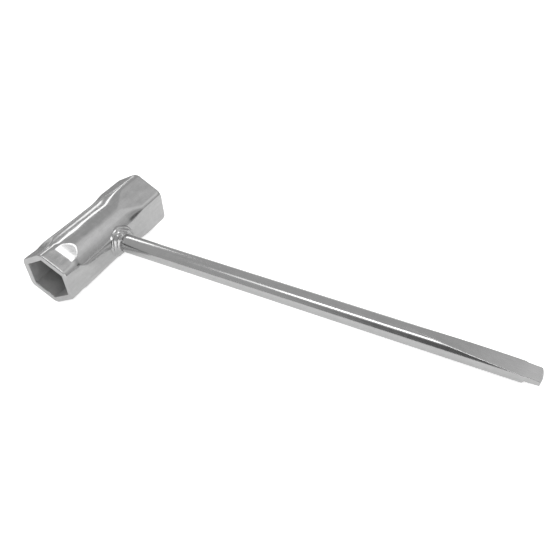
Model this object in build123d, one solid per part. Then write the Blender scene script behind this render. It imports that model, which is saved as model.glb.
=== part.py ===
"""T-handle double-ended hex box wrench, in millimetres.

A formed steel tube has a hexagon socket in each end. A round bar is let into one wall of
the tube and welded there as the handle, and its free end is ground to a screwdriver blade.

Frame: the origin is where the bar's axis crosses the tube's axis. +X runs along the bar to
the blade, +Y along the tube to the large socket, and +Z is up. Both hexagons have a flat
facing +X, so that a ridge is on top.
"""

from build123d import *
import math
import os

os.makedirs("parts", exist_ok=True)

# Socket tube
TUBE_R = 12.25  # outside of the round middle
WALL = 2.65
SMALL_AF = 17.2  # opening across flats, for a 17 mm nut
LARGE_AF = 19.4  # opening across flats, for a 19 mm nut
SMALL_MOUTH_Y = -32.6
LARGE_MOUTH_Y = 30.8
SMALL_RAMP_Y = (-27.5, -19.5)  # the small hexagon's flats run out into the round middle
LARGE_RAMP_Y = (6.5, 18.5)  # the large hexagon's ridges rise from the round middle
OUTER_CORNER_R = 2.95
INNER_CORNER_R = 0.4
ROUND_FLAT = 0.8  # half width of the trace of each flat that the round middle keeps
MOUTH_CHAMFER = 0.4
RAMP_STEPS = 5  # lofted steps in each ramp

# Handle bar
BAR_R = 4.0
BAR_START_X = 10.2  # inside the tube's wall
BAR_SEAT_R = 3.8  # the bar's end is turned down to sit in the cross hole
BAR_HOLE_R = 3.85
BLADE_END_X = 185.0
BEVEL_START_X = 140.7  # the long flat on top starts here
BEVEL_END = (178.6, 1.52)  # x and z where the long flat meets the blade
BLADE_START_X = 179.8
UNDERSIDE_END_X = 178.4  # the round underside stops here
UNDERSIDE_END_Z = -3.4  # height of the slope to the blade where it starts
BLADE_ROOT_Z = (1.4, -1.2)
BLADE_TIP_Z = (0.95, -0.9)
BLADE_HALF_W = 3.5
BLADE_CROWN = 0.45  # how far the blade's end bulges

# Weld
WELD_BASE_R = 7.6
WELD_TOP_X = 14.4
WELD_MID = (13.6, 6.0)  # x and radius of the weld's shoulder

CLEAR = 10.0  # how far cutting solids run past the part
CUT_MARGIN = 1.0  # how far the bar's side and plan views reach past it
TOLERANCE = 1e-4


def polar(radius, degrees, y):
    """Point at an angle from +X, in the section plane at station y."""
    angle = math.radians(degrees)
    return Vector(radius * math.cos(angle), y, radius * math.sin(angle))


def hexagon(across_flats, corner_r):
    """A rounded hexagon as (apothem, half width of a flat, radius of a ridge)."""
    apothem = across_flats / 2
    centre = apothem - corner_r
    half_flat = centre * math.tan(math.radians(30))
    ridge = centre / math.cos(math.radians(30)) + corner_r
    return apothem, half_flat, ridge


def nearly_round(radius):
    """A circle in the same six-sided form, with a trace of each flat left."""
    return math.sqrt(radius**2 - ROUND_FLAT**2), ROUND_FLAT, radius


def section(y, form):
    """Closed outline at station y: six flats joined by six ridge arcs."""
    apothem, half_flat, ridge = form
    reach = math.hypot(apothem, half_flat)
    spread = math.degrees(math.atan2(half_flat, apothem))
    edges = []
    for side in range(6):
        middle = 60 * side
        flat_start = polar(reach, middle - spread, y)
        flat_end = polar(reach, middle + spread, y)
        next_start = polar(reach, middle + 60 - spread, y)
        edges.append(Edge.make_line(flat_start, flat_end))
        edges.append(Edge.make_three_point_arc(flat_end, polar(ridge, middle + 30, y), next_start))
    return Wire(edges)


def blend(form_a, form_b, share):
    """A form between two others, with an ease in and an ease out."""
    ease = share * share * (3 - 2 * share)
    return tuple(a + (b - a) * ease for a, b in zip(form_a, form_b))


def ramp(span, form_a, form_b):
    """Smooth loft from one form to another over a span of the tube."""
    start, end = span
    wires = []
    for step in range(RAMP_STEPS + 1):
        share = step / RAMP_STEPS
        wires.append(section(start + (end - start) * share, blend(form_a, form_b, share)))
    return Solid.make_loft(wires)


def straight(y_a, y_b, form):
    return Solid.make_loft([section(y_a, form), section(y_b, form)], ruled=True)


def tube_form(small, middle, large, past=0.0):
    """The whole length of the tube's skin or of its bore."""
    small_start, small_end = SMALL_RAMP_Y
    large_start, large_end = LARGE_RAMP_Y
    return (
        straight(SMALL_MOUTH_Y - past, small_start, small)
        + ramp(SMALL_RAMP_Y, small, middle)
        + straight(small_end, large_start, middle)
        + ramp(LARGE_RAMP_Y, middle, large)
        + straight(large_end, LARGE_MOUTH_Y + past, large)
    )


def tube_skin():
    small = hexagon(SMALL_AF + 2 * WALL, OUTER_CORNER_R)
    large = hexagon(LARGE_AF + 2 * WALL, OUTER_CORNER_R)
    return tube_form(small, nearly_round(TUBE_R), large)


def tube_bore():
    small = hexagon(SMALL_AF, INNER_CORNER_R)
    large = hexagon(LARGE_AF, INNER_CORNER_R)
    return tube_form(small, nearly_round(TUBE_R - WALL), large, past=CLEAR)


def x_cylinder(radius, start, end):
    plane = Plane(origin=(start, 0, 0), x_dir=(0, 1, 0), z_dir=(1, 0, 0))
    return Solid.make_cylinder(radius, end - start, plane)


def rim_edges(tube, mouth_y, across_flats):
    """The outer edges of one mouth."""
    inner_limit = across_flats / 2 + WALL - MOUTH_CHAMFER
    return [
        edge
        for edge in tube.edges()
        if abs(edge.center().Y - mouth_y) < TOLERANCE
        and math.hypot(edge.center().X, edge.center().Z) > inner_limit
    ]


def make_socket_tube(skin):
    tube = skin - tube_bore() - x_cylinder(BAR_HOLE_R, 0, TUBE_R + CLEAR)
    rims = rim_edges(tube, SMALL_MOUTH_Y, SMALL_AF) + rim_edges(tube, LARGE_MOUTH_Y, LARGE_AF)
    return tube.chamfer(MOUTH_CHAMFER, None, rims)


def make_handle_rod():
    """Round bar with its seat, cut to the blade's side view and then to its plan view."""
    seat = x_cylinder(BAR_SEAT_R, BAR_START_X, WELD_TOP_X)
    bar = seat + x_cylinder(BAR_R, WELD_TOP_X, BLADE_END_X)
    edge = BAR_R + CUT_MARGIN
    butt_x = BAR_START_X - CUT_MARGIN
    shoulder_x, shoulder_z = BEVEL_END
    top_root, bottom_root = BLADE_ROOT_Z
    top_tip, bottom_tip = BLADE_TIP_Z
    side_view = Polyline(
        (butt_x, 0, -edge),
        (UNDERSIDE_END_X, 0, -edge),
        (UNDERSIDE_END_X, 0, UNDERSIDE_END_Z),
        (BLADE_START_X, 0, bottom_root),
        (BLADE_END_X, 0, bottom_tip),
        (BLADE_END_X, 0, top_tip),
        (BLADE_START_X, 0, top_root),
        (shoulder_x, 0, shoulder_z),
        (BEVEL_START_X, 0, BAR_R),
        (BEVEL_START_X, 0, edge),
        (butt_x, 0, edge),
        close=True,
    )
    side_solid = extrude(make_face(side_view), amount=edge, dir=(0, 1, 0), both=True)
    corner_x = BLADE_END_X - BLADE_CROWN
    plan_view = Polyline(
        (corner_x, BLADE_HALF_W, 0),
        (BLADE_START_X, BLADE_HALF_W, 0),
        (shoulder_x, edge, 0),
        (butt_x, edge, 0),
        (butt_x, -edge, 0),
        (shoulder_x, -edge, 0),
        (BLADE_START_X, -BLADE_HALF_W, 0),
        (corner_x, -BLADE_HALF_W, 0),
    ) + ThreePointArc(
        (corner_x, -BLADE_HALF_W, 0), (BLADE_END_X, 0, 0), (corner_x, BLADE_HALF_W, 0)
    )
    plan_solid = extrude(make_face(plan_view), amount=edge, both=True)
    return bar & side_solid & plan_solid


def make_weld_bead(skin):
    """Ring of weld metal: a revolved fillet, cut to the tube's skin and the bar."""
    root_x = TUBE_R - WALL
    outline = Polyline(
        (WELD_TOP_X, BAR_R, 0),
        (WELD_TOP_X, BAR_SEAT_R, 0),
        (root_x, BAR_SEAT_R, 0),
        (root_x, WELD_BASE_R, 0),
        (TUBE_R, WELD_BASE_R, 0),
    ) + ThreePointArc((TUBE_R, WELD_BASE_R, 0), (*WELD_MID, 0), (WELD_TOP_X, BAR_R, 0))
    ring = revolve(make_face(outline), axis=Axis.X)
    return ring - skin


skin = tube_skin()
parts = {
    "socket_tube": make_socket_tube(skin),
    "handle_rod": make_handle_rod(),
    "weld_bead": make_weld_bead(skin),
}
for name, shape in parts.items():
    export_step(shape, f"parts/{name}.step")
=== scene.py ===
"""Looks of the T-handle hex box wrench: plated steel tube, bar and weld, on a pale floor.

Lengths in this file are millimetres in the part's frame, and MM turns them into metres.
+X runs along the bar to the blade, +Y along the tube to the large socket, +Z is up.
Azimuths run from +X towards +Y. Azimuths, elevations and spins are in degrees.
"""

import math

import bpy
import numpy as np
from mathutils import Matrix, Vector


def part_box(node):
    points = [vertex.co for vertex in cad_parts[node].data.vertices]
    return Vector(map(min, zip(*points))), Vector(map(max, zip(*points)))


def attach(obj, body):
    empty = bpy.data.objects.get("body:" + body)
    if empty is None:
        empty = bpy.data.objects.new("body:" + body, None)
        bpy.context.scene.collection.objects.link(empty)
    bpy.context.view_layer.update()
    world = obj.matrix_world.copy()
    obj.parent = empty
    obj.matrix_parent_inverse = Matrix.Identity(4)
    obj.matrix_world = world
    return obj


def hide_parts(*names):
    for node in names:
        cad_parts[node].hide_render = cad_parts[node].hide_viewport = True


MM = 0.001
TURN = 2 * math.pi
QUARTER = math.pi / 2

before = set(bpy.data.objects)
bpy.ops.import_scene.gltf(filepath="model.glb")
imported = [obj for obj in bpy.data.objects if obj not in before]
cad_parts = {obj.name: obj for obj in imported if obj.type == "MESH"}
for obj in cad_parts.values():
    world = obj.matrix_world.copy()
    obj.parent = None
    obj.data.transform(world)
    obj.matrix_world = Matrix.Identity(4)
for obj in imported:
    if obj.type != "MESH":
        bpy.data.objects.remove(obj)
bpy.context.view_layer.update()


def box_mm(node):
    """Lowest and highest corner of a CAD node, in millimetres."""
    low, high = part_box(node)
    return low / MM, high / MM


TUBE_LOW, TUBE_HIGH = box_mm("socket_tube")
BAR_LOW, BAR_HIGH = box_mm("handle_rod")
WELD_HIGH = box_mm("weld_bead")[1]

# Sizes that several pieces share
TUBE_R = 12.25
BAR_R = 4.0
WELD_TOP_X = WELD_HIGH.x

# Outside of the socket tube
WALL = 2.65
OUTER_CORNER_R = 2.95
SMALL_MOUTH_Y = TUBE_LOW.y
SMALL_APOTHEM = 11.25
SMALL_RIDGE_R = 12.5
SMALL_TAPER_Y = (-30.0, -5.0)  # the ridges' radius falls to the round middle's along here
SMALL_RAMP_Y = -26.8  # from here the small flats curve up, ever less, to the round middle
SMALL_RAMP_BEND = 1.7
SMALL_RAMP_SLOPE = 0.224
SMALL_RAMP_EDGE = 0.05
SMALL_CORNER_Y = (-29.5, -24.0)  # the small hexagon's corners get rounder along here
SMALL_CORNER_GROWTH = 2.2
LARGE_MOUTH_Y = TUBE_HIGH.y
LARGE_APOTHEM = TUBE_HIGH.x
LARGE_RIDGE_R = TUBE_HIGH.z
LARGE_RAMP_Y = (6.5, 18.5)
LARGE_END_R = LARGE_RIDGE_R - 0.55  # a turned cone takes the corners off the large mouth
LARGE_END_SLOPE = 0.5
LARGE_END_EDGE = 0.3
TUBE_WAVES = (
    # turns round the tube, pitch along it, phase, height
    (5, 23.0, 0.4, 0.011),
    (7, -17.0, 2.1, 0.010),
    (11, 29.0, 4.4, 0.008),
    (3, 9.5, 1.2, 0.007),
    (2, -6.3, 3.3, 0.005),
    (17, 41.0, 5.6, 0.005),
    (23, -13.0, 0.9, 0.003),
)
WAVE_ROOM = 0.02  # the wavy skin lies this much lower, to stay inside the tube's box
WAVE_CALM = 4.0  # length at each mouth over which the waves die out

# Bore and mouths of the tube
BORE_R = TUBE_R - WALL
INNER_CORNER_R = 0.45
SMALL_BORE_RAMP_Y = (-20.5, -13.5)
LARGE_BORE_RAMP_Y = (6.0, 15.5)
SMALL_LIP = 0.5
LARGE_LIP = 0.75
INNER_LIP = 0.3
LIP_ROWS = 8
RING_ROWS = 5
INNER_LIP_ROWS = 5

TUBE_TURN = 416  # mesh columns round the tube
TUBE_ROW = 0.45  # mesh row spacing along the tube's outside
BORE_ROWS = 60

# Weld
WELD_BASE_R = WELD_HIGH.z
WELD_INNER_R = BAR_R - 0.12  # just under the bar's skin
WELD_FOOT = (0.25, 0.15)  # how far the foot is inside the CAD's, and how much more towards +Y
WELD_FOOT_WAVES = ((3, 0.7, 0.07), (8, 2.0, 0.05), (13, 0.0, 0.03))  # turns, phase, height
WELD_TOP = (0.45, 0.3)  # how far the weld ends below the CAD's, and how much less underneath
WELD_TOP_WAVES = ((4, 1.0, 0.06), (9, 0.4, 0.05))
WELD_EDGE = 0.55
WELD_EDGE_CLIMB = 0.11
WELD_RISE = 1.6
WELD_RING = 0.2
WELD_RING_START = 0.08
WELD_RING_PITCH = 0.38
WELD_RING_SPAN = ((0.02, 0.17), (0.9, 1.0))  # the rings fade in and out along these climbs
WELD_WANDER = ((2, 0.5, 0.55), (5, 1.3, 0.3))  # turns, phase and size of the rings' own waves
WELD_SWELL = (1.2, 0.6)  # the rings' height at the foot, and how much of it is gone at the bar
WELD_SWELL_WAVES = (
    # mean, turns, phase and size of the waves in the rings' height round the bar
    (0.8, 1, 0.0, 0.2),
    (0.9, 3, 1.0, 0.2),
)
WELD_LUMPS = (
    # height of a lump, then turns round the bar, climb and phase of the waves it is made of
    (0.07, (7, 8, 0.0), (3, 13, 0.8)),
    (0.03, (15, -11, 2.0)),
)
WELD_LUMP_SPAN = ((0.0, 0.15), (0.85, 1.0))
WELD_SINK = 0.1
WELD_ROOT = 0.35
WELD_TURN = 360
WELD_ROWS = 96

# Handle bar
SEAT_R = 3.8
SEAT_END_X = WELD_TOP_X - 1.4  # under the weld
BEVEL_START_X = 140.7
BEVEL_END_X = 178.6
BEVEL_END_Z = 1.52
SHOULDER_X = 177.3  # the long flat curves into the blade from here
UNDERSIDE_END_X = 178.3
BLADE_START_X = 179.8
BLADE_END_X = BAR_HIGH.x
BLADE_TOP_Z = 0.95  # at the blade's end
BLADE_TOP_SLOPE = -0.075
BLADE_LOW_Z = (-1.2, -0.9)  # at the blade's start and end
BLADE_HALF_W = 3.5
BLADE_CROWN = 0.45
CUT_CLEAR = 0.2  # the cuts under and beside the bar start this far outside it
FLAT_EDGE = 0.16  # how softly the long flat and the blade's sides meet the round bar
BLADE_EDGE = 0.4
END_ROUND = 0.3
END_SHRINK = 0.25
END_ROWS = 4
BAR_TURN = 384
EDGE_CROWD = 0.7  # how much closer together the mesh columns are along the flat's edges
EDGE_LIMIT = 0.985  # height of those columns on the bar where it has no flat, in radii
BAR_SPANS = (
    # start, end, mesh rows
    (WELD_TOP_X - 1.2, BEVEL_START_X - 6, 50),
    (BEVEL_START_X - 5, UNDERSIDE_END_X - 0.5, 150),
    (UNDERSIDE_END_X - 0.4, BLADE_END_X - BLADE_CROWN - END_ROUND, 44),
)

# Steel; heights of its relief are in millimetres, noise scales per metre
PLATE_COLOUR = (0.50, 0.50, 0.50, 1.0)
STEELS = {
    "tube_plating": {
        "stretch": (900, 45, 900),
        "streak": 0.004,
        "dent": 0.012,
        "peel": 0.0006,
        "shade": 0.09,
        "roughness": (0.13, 0.2),
        "seed": 3.0,
    },
    "bar_plating": {
        "stretch": (22, 1900, 1900),
        "streak": 0.003,
        "dent": 0.004,
        "peel": 0.0005,
        "shade": 0.06,
        "roughness": (0.13, 0.19),
        "seed": 7.0,
    },
    "weld_plating": {
        "stretch": (700, 700, 700),
        "streak": 0.02,
        "dent": 0.03,
        "peel": 0.002,
        "shade": 0.12,
        "roughness": (0.13, 0.22),
        "seed": 11.0,
    },
}
NOISE_RANGE = (0.3, 0.7)  # where most of a noise texture's values lie
NOISE_ROUGHNESS = 0.6
STREAK_NOISE = (1.0, 5.0)  # scale and detail
DENT_NOISE = (260.0, 2.0)
DENT_NOISE_ROUGHNESS = 0.5
GRAIN_NOISE = (1500.0, 3.0)
CLOUD_NOISE = (110.0, 5.0)
BLOTCH_NOISE = (420.0, 4.0)
BORE_NOISE = (160.0, 5.0)
BORE_SHADE = (0.42, 0.52)
BORE_ROUGHNESS = 0.95
BORE_RELIEF = 0.02

# Studio
LIGHT_DISTANCE = 1200.0
SOFTBOXES = (
    # name, azimuth, elevation, width and height in degrees of arc, radiance, spin, and the x
    # of the point on the bar that the directions are seen from
    ("key_front", -91.5, 63.4, 36, 14, 3.2, 2, 115),
    ("key_front_wing", -128, 59, 14, 12, 1.2, 32, 90),
    ("key_back", 141.2, 42.4, 20, 6.5, 3.2, 29, 0),
    ("key_low", 142, 17.5, 11, 8, 2.1, 0, 0),
    ("key_top", 45, 69.9, 13, 11, 3.2, -45, 0),
)
WORLD_LEVEL = 0.62
WORLD_PATCHES = (
    # azimuth, elevation, inner and outer radius in degrees, brightness
    (-35, 12, 18, 36, 1.8),
    (38, 24, 3, 15, 0.80),
    (50, 43, 5, 24, 1.08),
    (0, -90, 91, 96, 0.5),
    (16, 11, 3, 12, 0.12),
    (-86, 34, 3, 23, 0.16),
    (-86, 12, 3, 23, 0.16),
)
WORLD_SEEN = 1.0  # what the camera itself sees of the surroundings
FLOOR_SIZE = 3000.0
FLOOR_GAP = 0.03
FLOOR_SHADE = 0.8
FLOOR_ROUGHNESS = 0.9
FLOOR_SPECULAR = 0.1
FLOOR_GLOW = 0.42
FLOOR_GLOW_SEEN = 0.72  # the camera sees a nearly white floor with a faint shadow
FLAG_X = -55.0
FLAG_Y = (-25.0, 80.0)
FLAG_Z = (-14.0, 3.0)
FLAG_GLOW = 0.36

# Camera
CAMERA_AZIMUTH = -64.31
CAMERA_ELEVATION = 42.21
CAMERA_ROLL = -0.44
CAMERA_DISTANCE = 221.5
CAMERA_AIM = Vector((84.6, 6.65, 0.0))
CAMERA_LENS = 35.55
CAMERA_SENSOR = 36.0
CAMERA_CLIP = 10.0


def smoothstep(value, start, end):
    share = np.clip((value - start) / (end - start), 0.0, 1.0)
    return share * share * (3 - 2 * share)


def soft_min(a, b, width):
    """Smaller of two values, rounded where they meet."""
    near = np.maximum(width - np.abs(a - b), 0.0) / width
    return np.minimum(a, b) - near * near * width / 4


def waves(angle, table):
    """Sum of sine waves round a circle, from rows of turns, phase and height."""
    return sum(height * np.sin(turns * angle + phase) for turns, phase, height in table)


def around_x(x, radius, angle):
    """Points round the bar's axis."""
    return np.stack([x * np.ones_like(angle), radius * np.cos(angle), radius * np.sin(angle)], -1)


def around_y(radius, angle, y):
    """Points round the tube's axis."""
    return np.stack([radius * np.cos(angle), y * np.ones_like(angle), radius * np.sin(angle)], -1)


def add_object(name, points, polygons):
    """New object from points in millimetres and lists of their indices."""
    mesh = bpy.data.meshes.new(name)
    mesh.from_pydata((np.array(points) * MM).tolist(), [], polygons)
    thing = bpy.data.objects.new(name, mesh)
    bpy.context.scene.collection.objects.link(thing)
    return thing


def make_mesh(name, grid, closed_rows=False):
    """Smooth mesh from a grid of points, closed round its second direction."""
    rows, turn, _ = grid.shape
    index = np.arange(rows * turn).reshape(rows, turn)
    upper = np.roll(index, -1, axis=0) if closed_rows else index[1:]
    lower = index if closed_rows else index[:-1]
    faces = np.stack(
        [lower, np.roll(lower, -1, axis=1), np.roll(upper, -1, axis=1), upper], axis=-1
    )
    polygons = faces.reshape(-1, 4).tolist()
    if not closed_rows:
        polygons += [index[0][::-1].tolist(), index[-1].tolist()]
    piece = add_object(name, grid.reshape(-1, 3), polygons)
    piece.data.shade_smooth()
    return piece


def hexagon_radius(theta, apothem, corner_r):
    """Radius of a rounded hexagon with a flat facing theta = 0."""
    sixth = math.pi / 3
    turn = np.abs((theta + sixth / 2) % sixth - sixth / 2)
    half_flat = (apothem - corner_r) * math.tan(sixth / 2)
    flat = apothem / np.cos(turn)
    centre = (apothem - corner_r) / math.cos(sixth / 2)
    away = sixth / 2 - turn
    reach = np.maximum(corner_r**2 - (centre * np.sin(away)) ** 2, 0.0)
    corner = centre * np.cos(away) + np.sqrt(reach)
    return np.where(apothem * np.tan(turn) < half_flat, flat, corner)


def corner_from_ridge(apothem, ridge):
    """Corner radius of the rounded hexagon with that apothem and ridge radius."""
    stretch = 1 / math.cos(math.pi / 6)
    return (stretch * apothem - ridge) / (stretch - 1)


def waviness(theta, y):
    """Slight unevenness that forming leaves in the tube's skin, none at the mouths."""
    total = np.zeros(np.broadcast(theta, y).shape)
    for turns, pitch, phase, height in TUBE_WAVES:
        total = total + height * np.sin(turns * theta + TURN * y / pitch + phase)
    calm = smoothstep(y, LARGE_MOUTH_Y, LARGE_MOUTH_Y - WAVE_CALM)
    calm = calm * smoothstep(y, SMALL_MOUTH_Y, SMALL_MOUTH_Y + WAVE_CALM)
    return (total - WAVE_ROOM) * calm


def small_end(theta, y):
    """Outside radius of the tube from the small mouth to the round middle."""
    run = np.maximum(y - SMALL_RAMP_Y, 0.0)
    climb = SMALL_RAMP_SLOPE * (run - SMALL_RAMP_BEND * (1 - np.exp(-run / SMALL_RAMP_BEND)))
    apothem = min(SMALL_APOTHEM + climb, 2 * TUBE_R)
    corner_r = OUTER_CORNER_R + SMALL_CORNER_GROWTH * smoothstep(y, *SMALL_CORNER_Y)
    middle = TUBE_R + (SMALL_RIDGE_R - TUBE_R) * (1 - smoothstep(y, *SMALL_TAPER_Y))
    return soft_min(hexagon_radius(theta, apothem, corner_r), middle, SMALL_RAMP_EDGE)


def large_end(theta, y):
    """Outside radius of the tube from the round middle to the large mouth."""
    share = smoothstep(y, *LARGE_RAMP_Y)
    apothem = TUBE_R + (LARGE_APOTHEM - TUBE_R) * share
    ridge = TUBE_R + (LARGE_RIDGE_R - TUBE_R) * share
    hexagon = hexagon_radius(theta, apothem, corner_from_ridge(apothem, ridge))
    cone = LARGE_END_R + LARGE_END_SLOPE * (LARGE_MOUTH_Y - y)
    return soft_min(hexagon, cone, LARGE_END_EDGE)


def tube_outside(theta, y):
    end = small_end if y < 0 else large_end
    return end(theta, y) + waviness(theta, y)


def tube_inside(theta, y):
    """Radius of the tube's bore."""
    small_share = 1 - smoothstep(y, *SMALL_BORE_RAMP_Y)
    large_share = smoothstep(y, *LARGE_BORE_RAMP_Y)
    small = hexagon_radius(theta, SMALL_APOTHEM - WALL, INNER_CORNER_R)
    large = hexagon_radius(theta, LARGE_APOTHEM - WALL, INNER_CORNER_R)
    return BORE_R + (small - BORE_R) * small_share + (large - BORE_R) * large_share


def lip_rows(theta, mouth, outward, lip):
    """Rows from the outside skin over the mouth's end face to the bore."""
    rows = []
    base = mouth - outward * lip
    for angle in np.linspace(0, QUARTER, LIP_ROWS + 1)[1:]:
        radius = tube_outside(theta, base) - lip * (1 - math.cos(angle))
        rows.append(around_y(radius, theta, base + outward * lip * math.sin(angle)))
    edge_out = tube_outside(theta, base) - lip
    edge_in = tube_inside(theta, mouth) + INNER_LIP
    for share in np.linspace(0, 1, RING_ROWS + 1)[1:-1]:
        rows.append(around_y(edge_out + (edge_in - edge_out) * share, theta, mouth))
    base = mouth - outward * INNER_LIP
    for angle in np.linspace(QUARTER, 0, INNER_LIP_ROWS + 1)[:-1]:
        radius = tube_inside(theta, base) + INNER_LIP * (1 - math.cos(angle))
        rows.append(around_y(radius, theta, base + outward * INNER_LIP * math.sin(angle)))
    return rows


def make_tube():
    """Skin, mouths and bore of the tube as one closed ring of rows; the bore is slot 1."""
    theta = np.linspace(0, TURN, TUBE_TURN, endpoint=False)
    low, high = SMALL_MOUTH_Y, LARGE_MOUTH_Y
    count = round((high - low) / TUBE_ROW)
    rows = []
    for y in np.linspace(low + SMALL_LIP, high - LARGE_LIP, count):
        rows.append(around_y(tube_outside(theta, y), theta, y))
    rows += lip_rows(theta, high, 1, LARGE_LIP)
    bore_start = len(rows)
    for y in np.linspace(high - INNER_LIP, low + INNER_LIP, BORE_ROWS):
        rows.append(around_y(tube_inside(theta, y), theta, y))
    bore_end = len(rows)
    rows += lip_rows(theta, low, -1, SMALL_LIP)[::-1]
    tube = make_mesh("tube_shell", np.array(rows), closed_rows=True)
    slots = np.zeros(len(rows), int)
    slots[bore_start : bore_end - 1] = 1
    tube.data.polygons.foreach_set("material_index", np.repeat(slots, TUBE_TURN))
    return tube


def flat_height(x):
    """Height of the long flat, and of the blade's top, over the bar's axis."""
    slope = (BEVEL_END_Z - BAR_R) / (BEVEL_END_X - BEVEL_START_X)
    if x <= SHOULDER_X:
        return BAR_R + slope * (x - BEVEL_START_X)
    start = BAR_R + slope * (SHOULDER_X - BEVEL_START_X)
    reach = BLADE_END_X - SHOULDER_X
    t = (x - SHOULDER_X) / reach
    ease = 3 * t**2 - 2 * t**3
    leave = (t**3 - 2 * t**2 + t) * slope * reach
    arrive = (t**3 - t**2) * BLADE_TOP_SLOPE * reach
    return start + (BLADE_TOP_Z - start) * ease + leave + arrive


def bar_angles(x):
    """Angles round the bar, with two mesh columns on the edges of the long flat."""
    edge = math.asin(min(flat_height(x) / BAR_R, EDGE_LIMIT))
    share = np.linspace(0, 1, BAR_TURN // 2, endpoint=False)
    share = share - EDGE_CROWD * np.sin(TURN * share) / TURN
    over = edge + (math.pi - 2 * edge) * share
    under = math.pi - edge + (math.pi + 2 * edge) * share
    return np.concatenate([over, under])


def bar_radius(theta, x):
    """Radius of the bar's section at station x: round, then cut to the blade."""
    tiny = 1e-6
    sine, cosine = np.sin(theta), np.cos(theta)
    outside = BAR_R + CUT_CLEAR
    step = smoothstep(x, UNDERSIDE_END_X, BLADE_START_X)
    along = np.clip((x - BLADE_START_X) / (BLADE_END_X - BLADE_START_X), 0, 1)
    start_z, end_z = BLADE_LOW_Z
    if x > BLADE_START_X:
        low = (start_z - end_z) * along - start_z
    else:
        low = outside + (-start_z - outside) * step
    half = outside + (BLADE_HALF_W - outside) * step
    flat = np.where(sine > tiny, flat_height(x) / np.maximum(sine, tiny), math.inf)
    under = np.where(sine < -tiny, low / np.maximum(-sine, tiny), math.inf)
    side = half / np.maximum(np.abs(cosine), tiny)
    radius = soft_min(np.full_like(theta, BAR_R), flat, FLAT_EDGE)
    for cut in (under, side):
        radius = soft_min(radius, cut, BLADE_EDGE)
    return radius


def blade_end_rows(last):
    """Rows that round the blade's end over from its last full row."""
    rows = []
    radius = np.hypot(last[:, 1], last[:, 2])
    crown = BLADE_CROWN * (1 - (last[:, 1] / BLADE_HALF_W) ** 2)
    for angle in np.linspace(0, QUARTER, END_ROWS + 1)[1:]:
        scale = (radius - END_SHRINK * (1 - math.cos(angle))) / radius
        x = last[:, 0] + (END_ROUND + crown) * math.sin(angle)
        rows.append(np.stack([x, last[:, 1] * scale, last[:, 2] * scale], -1))
    return rows


def make_bar():
    """Bar from its seat in the tube's wall to the blade's end."""
    rows = []
    for x in (BAR_LOW.x, SEAT_END_X):
        rows.append(around_x(x, SEAT_R, bar_angles(x)))
    for start, end, count in BAR_SPANS:
        for x in np.linspace(start, end, count):
            theta = bar_angles(x)
            rows.append(around_x(x, bar_radius(theta, x), theta))
    rows += blade_end_rows(rows[-1])
    return make_mesh("bar_blade", np.array(rows))


def weld_foot(phi):
    """Radius of the weld's foot round the bar; wider on the side of the small socket."""
    inset, shift = WELD_FOOT
    return WELD_BASE_R - inset - shift * np.cos(phi) + waves(phi, WELD_FOOT_WAVES)


def weld_top(phi):
    """Station along the bar where the weld ends."""
    inset, longer = WELD_TOP
    low_side = 0.5 - 0.5 * np.sin(phi)
    return WELD_TOP_X - inset + longer * low_side + waves(phi, WELD_TOP_WAVES)


def fade_between(climb, fade_in, fade_out):
    """Share that rises from 0 to 1 over one range of climb and falls back over another."""
    return smoothstep(climb, *fade_in) * (1 - smoothstep(climb, *fade_out))


def weld_rings(phi, climb):
    """Rings left by the weld's passes: highest near the foot and on the upper side."""
    phase = TURN * (climb - WELD_RING_START) / WELD_RING_PITCH + waves(phi, WELD_WANDER)
    at_foot, lost = WELD_SWELL
    swell = at_foot - lost * climb
    for mean, *wave in WELD_SWELL_WAVES:
        swell = swell * (mean + waves(phi, [wave]))
    return WELD_RING * np.sin(phase) * swell * fade_between(climb, *WELD_RING_SPAN)


def weld_lumps(phi, climb):
    """Small unevenness of the weld metal."""
    total = 0.0
    for height, *parts in WELD_LUMPS:
        lump = height
        for turns, rise, phase in parts:
            lump = lump * np.sin(turns * phi + rise * climb + phase)
        total = total + lump
    return total * fade_between(climb, *WELD_LUMP_SPAN)


def weld_height(phi, climb, full):
    """Height of the weld above the tube's skin; climb runs from 0 at its foot to 1 at the bar."""
    edge = WELD_EDGE * smoothstep(climb, 0.0, WELD_EDGE_CLIMB)
    rise = (full - WELD_EDGE) * climb**WELD_RISE
    return edge + rise + weld_rings(phi, climb) + weld_lumps(phi, climb)


def skin_x(phi, reach):
    """X of the round tube's skin at that distance from the bar's axis."""
    return np.sqrt(np.maximum(TUBE_R**2 - (reach * np.sin(phi)) ** 2, 0.0))


def make_weld():
    """Weld metal from below the tube's skin up to the bar."""
    phi = np.linspace(0, TURN, WELD_TURN, endpoint=False)
    foot = weld_foot(phi)
    full = weld_top(phi) - skin_x(phi, WELD_INNER_R)
    root = weld_height(phi, 0.0, full) - WELD_ROOT
    rows = [around_x(skin_x(phi, foot) + root - WELD_SINK, foot, phi)]
    # The last row is doubled, which keeps the flat end's shading out of the weld's side
    for climb in np.append(np.linspace(0, 1, WELD_ROWS), 1.0):
        reach = foot + (WELD_INNER_R - foot) * climb
        x = skin_x(phi, reach) + weld_height(phi, climb, full) - WELD_SINK
        rows.append(around_x(x, reach, phi))
    return make_mesh("weld_ring", np.array(rows))


def principled(name):
    material = bpy.data.materials.new(name)
    material.use_nodes = True
    return material, material.node_tree, material.node_tree.nodes["Principled BSDF"]


def add_node(tree, kind, **values):
    """New node with the given sockets or properties set."""
    node = tree.nodes.new(kind)
    for key, value in values.items():
        if key in node.inputs:
            node.inputs[key].default_value = value
        else:
            setattr(node, key, value)
    return node


def set_inputs(node, **values):
    for key, value in values.items():
        node.inputs[key.replace("_", " ")].default_value = value


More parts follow.
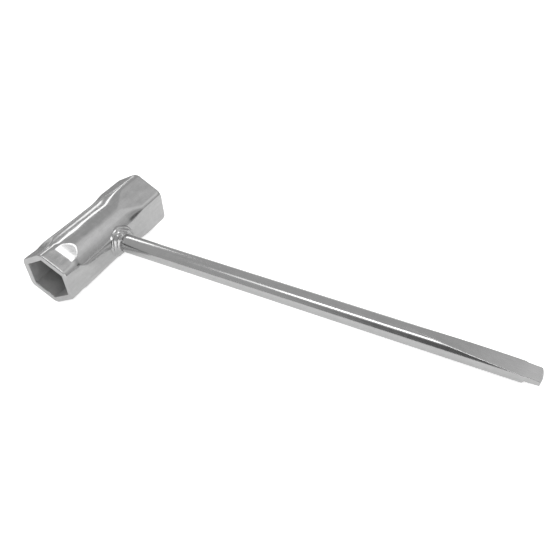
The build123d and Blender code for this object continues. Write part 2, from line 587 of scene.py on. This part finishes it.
def noise(tree, vector, scale, detail, roughness=NOISE_ROUGHNESS):
    """Output of a noise texture read at a vector."""
    node = add_node(tree, "ShaderNodeTexNoise", Scale=scale, Detail=detail, Roughness=roughness)
    tree.links.new(vector, node.inputs["Vector"])
    return node.outputs["Fac"]


def spread(tree, value, low, high):
    """Value of a noise, stretched so that its usual range runs from low to high."""
    node = add_node(tree, "ShaderNodeMapRange")
    start, end = NOISE_RANGE
    set_inputs(node, From_Min=start, From_Max=end, To_Min=low, To_Max=high)
    tree.links.new(value, node.inputs["Value"])
    return node.outputs["Result"]


def relief(tree, height, distance, under=None):
    """Bump of that height in millimetres, on top of another one."""
    node = add_node(tree, "ShaderNodeBump", Strength=1.0, Distance=distance * MM)
    tree.links.new(height, node.inputs["Height"])
    if under is not None:
        tree.links.new(under, node.inputs["Normal"])
    return node.outputs["Normal"]


def multiply(tree, first, second):
    node = add_node(tree, "ShaderNodeMath", operation="MULTIPLY")
    tree.links.new(first, node.inputs[0])
    tree.links.new(second, node.inputs[1])
    return node.outputs["Value"]


def seen_value(tree, others, camera):
    """One value for every kind of ray but the camera's own; others is a number or an output."""
    rays = add_node(tree, "ShaderNodeLightPath")
    mix = add_node(tree, "ShaderNodeMix", data_type="FLOAT")
    tree.links.new(rays.outputs["Is Camera Ray"], mix.inputs["Factor"])
    if isinstance(others, float):
        mix.inputs["A"].default_value = others
    else:
        tree.links.new(others, mix.inputs["A"])
    mix.inputs["B"].default_value = camera
    return mix.outputs["Result"]


def plated_steel(name, stretch, streak, dent, peel, shade, roughness, seed):
    """Bright plated steel: drawn streaks along one axis, shallow dents, a faint orange peel
    and slightly cloudy plating. Streak, dent and peel are heights in millimetres."""
    material, tree, shader = principled(name)
    shader.inputs["Metallic"].default_value = 1.0
    place = add_node(tree, "ShaderNodeTexCoord").outputs["Object"]
    mapping = add_node(tree, "ShaderNodeMapping", Scale=stretch, Location=(seed, seed, seed))
    tree.links.new(place, mapping.inputs["Vector"])
    streaks = noise(tree, mapping.outputs["Vector"], *STREAK_NOISE)
    dents = noise(tree, place, *DENT_NOISE, DENT_NOISE_ROUGHNESS)
    grain = noise(tree, place, *GRAIN_NOISE)
    blotch = noise(tree, place, *BLOTCH_NOISE)
    level = spread(tree, noise(tree, place, *CLOUD_NOISE), 1 - shade, 1.0)
    for source in (streaks, blotch):
        level = multiply(tree, level, spread(tree, source, 1 - shade, 1.0))
    tint = add_node(tree, "ShaderNodeMix", data_type="RGBA", blend_type="MULTIPLY")
    tint.inputs["Factor"].default_value = 1.0
    tint.inputs["A"].default_value = PLATE_COLOUR
    tree.links.new(level, tint.inputs["B"])
    tree.links.new(tint.outputs["Result"], shader.inputs["Base Color"])
    tree.links.new(spread(tree, blotch, *roughness), shader.inputs["Roughness"])
    normal = None
    for height, distance in ((dents, dent), (streaks, streak), (grain, peel)):
        normal = relief(tree, height, distance, normal)
    tree.links.new(normal, shader.inputs["Normal"])
    return material


def bore_steel():
    """Duller steel inside the tube, where the plating is thin."""
    material, tree, shader = principled("tube_bore")
    set_inputs(shader, Metallic=1.0, Roughness=BORE_ROUGHNESS)
    place = add_node(tree, "ShaderNodeTexCoord").outputs["Object"]
    cloud = noise(tree, place, *BORE_NOISE)
    tree.links.new(spread(tree, cloud, *BORE_SHADE), shader.inputs["Base Color"])
    tree.links.new(relief(tree, cloud, BORE_RELIEF), shader.inputs["Normal"])
    return material


def direction(azimuth, elevation):
    """Unit vector; azimuth is measured from +X towards +Y."""
    a, e = math.radians(azimuth), math.radians(elevation)
    return Vector((math.cos(a) * math.cos(e), math.sin(a) * math.cos(e), math.sin(e)))


def faced(toward, spin):
    """Rotation whose Z axis points along a direction, spun about it."""
    turn = toward.to_track_quat("Z", "Y").to_matrix().to_4x4()
    return turn @ Matrix.Rotation(math.radians(spin), 4, "Z")


def softbox(name, azimuth, elevation, wide, tall, radiance, spin, seen_from):
    """Rectangular soft box; wide and tall are degrees of arc seen from a point on the bar."""
    toward = direction(azimuth, elevation)
    data = bpy.data.lights.new(name, "AREA")
    data.shape = "RECTANGLE"
    data.size = 2 * LIGHT_DISTANCE * math.tan(math.radians(wide) / 2) * MM
    data.size_y = 2 * LIGHT_DISTANCE * math.tan(math.radians(tall) / 2) * MM
    data.energy = radiance * math.pi * data.size * data.size_y
    lamp = bpy.data.objects.new(name, data)
    bpy.context.scene.collection.objects.link(lamp)
    place = Vector((seen_from, 0, 0)) + toward * LIGHT_DISTANCE
    lamp.matrix_world = Matrix.Translation(place * MM) @ faced(toward, spin)


def world_patch(tree, place, level, patch):
    """Mix a round patch of another brightness into the level of the surroundings."""
    azimuth, elevation, inner, outer, brightness = patch
    dot = add_node(tree, "ShaderNodeVectorMath", operation="DOT_PRODUCT")
    tree.links.new(place, dot.inputs[0])
    dot.inputs[1].default_value = direction(azimuth, elevation)
    span = add_node(tree, "ShaderNodeMapRange", interpolation_type="SMOOTHSTEP")
    edges = math.cos(math.radians(outer)), math.cos(math.radians(inner))
    set_inputs(span, From_Min=edges[0], From_Max=edges[1])
    tree.links.new(dot.outputs["Value"], span.inputs["Value"])
    mix = add_node(tree, "ShaderNodeMix", data_type="FLOAT")
    tree.links.new(span.outputs["Result"], mix.inputs["Factor"])
    if level is None:
        mix.inputs["A"].default_value = WORLD_LEVEL
    else:
        tree.links.new(level, mix.inputs["A"])
    mix.inputs["B"].default_value = brightness
    return mix.outputs["Result"]


def make_world():
    """Grey studio surroundings with lighter and darker patches for the steel to reflect."""
    world = bpy.data.worlds.new("studio")
    world.use_nodes = True
    tree = world.node_tree
    back = tree.nodes["Background"]
    place = add_node(tree, "ShaderNodeTexCoord").outputs["Generated"]
    level = None
    for patch in WORLD_PATCHES:
        level = world_patch(tree, place, level, patch)
    tree.links.new(seen_value(tree, level, WORLD_SEEN), back.inputs["Strength"])
    back.inputs["Color"].default_value = (1, 1, 1, 1)
    bpy.context.scene.world = world


def glowing_card(name, points, shade, specular):
    """Flat card with four corners and its shader, which gives off white light."""
    card = add_object(name, points, [(0, 1, 2, 3)])
    material, tree, shader = principled(name)
    shader.inputs["Base Color"].default_value = (shade, shade, shade, 1)
    shader.inputs["Specular IOR Level"].default_value = specular
    shader.inputs["Emission Color"].default_value = (1, 1, 1, 1)
    card.data.materials.append(material)
    return card, tree, shader


def make_floor():
    """Plain pale floor through the tube's two lowest ridges and the underside of the bar."""
    slope_y = (SMALL_RIDGE_R - LARGE_RIDGE_R) / (LARGE_MOUTH_Y - SMALL_MOUTH_Y)
    level = -SMALL_RIDGE_R - slope_y * SMALL_MOUTH_Y
    slope_x = (-BAR_R - level) / UNDERSIDE_END_X
    half = FLOOR_SIZE / 2
    corners = ((-half, -half), (half, -half), (half, half), (-half, half))
    points = [(x, y, level - FLOOR_GAP + slope_x * x + slope_y * y) for x, y in corners]
    floor, tree, shader = glowing_card("floor", points, FLOOR_SHADE, FLOOR_SPECULAR)
    shader.inputs["Roughness"].default_value = FLOOR_ROUGHNESS
    glow = seen_value(tree, FLOOR_GLOW, FLOOR_GLOW_SEEN)
    tree.links.new(glow, shader.inputs["Emission Strength"])


def make_flag():
    """Dark card beside the tube, out of the camera's sight, that its left flats reflect."""
    (y0, y1), (z0, z1) = FLAG_Y, FLAG_Z
    points = [(FLAG_X, y0, z0), (FLAG_X, y1, z0), (FLAG_X, y1, z1), (FLAG_X, y0, z1)]
    flag, _, shader = glowing_card("flag_left", points, 0.0, 0.0)
    shader.inputs["Emission Strength"].default_value = FLAG_GLOW
    flag.visible_camera = False
    flag.visible_shadow = False
    flag.visible_diffuse = False


def make_camera():
    back = direction(CAMERA_AZIMUTH, CAMERA_ELEVATION)
    data = bpy.data.cameras.new("camera")
    data.lens = CAMERA_LENS
    data.sensor_width = CAMERA_SENSOR
    data.clip_start = CAMERA_CLIP * MM
    camera = bpy.data.objects.new("camera", data)
    bpy.context.scene.collection.objects.link(camera)
    place = CAMERA_AIM + back * CAMERA_DISTANCE
    camera.matrix_world = Matrix.Translation(place * MM) @ faced(back, CAMERA_ROLL)
    bpy.context.scene.camera = camera


tube = make_tube()
bar = make_bar()
weld = make_weld()
PIECES = (
    (tube, "socket_tube", "tube_plating"),
    (bar, "handle_rod", "bar_plating"),
    (weld, "weld_bead", "weld_plating"),
)
for piece, node, slot in PIECES:
    piece.data.materials.append(plated_steel(slot, **STEELS[slot]))
    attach(piece, "root")
    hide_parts(node)
tube.data.materials.append(bore_steel())

make_floor()
make_flag()
make_world()
for box in SOFTBOXES:
    softbox(*box)
make_camera()
bpy.context.scene.view_settings.view_transform = "Standard"
